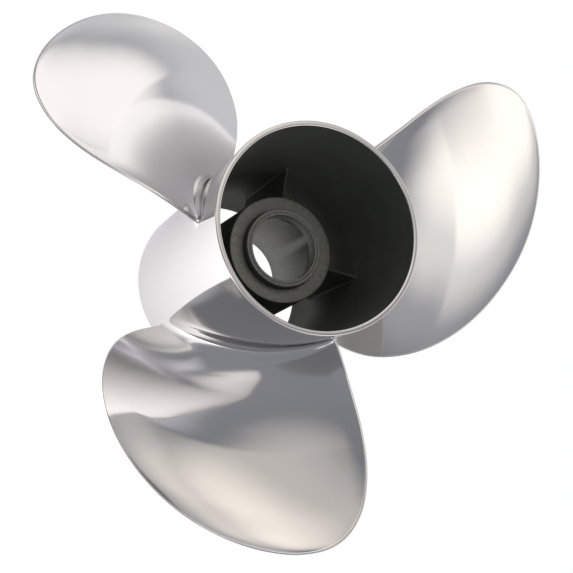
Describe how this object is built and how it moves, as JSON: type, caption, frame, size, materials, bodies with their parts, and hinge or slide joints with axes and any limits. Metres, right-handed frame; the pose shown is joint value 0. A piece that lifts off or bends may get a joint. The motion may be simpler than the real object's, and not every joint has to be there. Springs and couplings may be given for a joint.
{
  "type": "outboard boat propeller",
  "caption": "Polished steel boat propeller with raked blades round a hollow exhaust barrel and an inner hub on ribs.",
  "frame": {"origin": "on the shaft axis, at the height of the propeller's mass centre", "axes": "+Z along the shaft axis towards the exhaust outlet (aft); blade_1's tip points within a degree of -Y"},
  "size_m": [0.317, 0.3049, 0.15],
  "materials": {
    "polished_steel": "polished investment-cast stainless steel",
    "dark_steel": "unpolished cast skin inside the barrel, dark and matt"
  },
  "bodies": {
    "root": {"barrel": "polished_steel", "outlet_rim": "polished_steel", "blade_1": "polished_steel", "blade_2": "polished_steel", "blade_3": "polished_steel", "rib_1": "dark_steel", "rib_2": "dark_steel", "rib_3": "dark_steel", "rib_4": "dark_steel", "inner_hub": "dark_steel", "hub_lip": "dark_steel"}
  },
  "joints": []
}
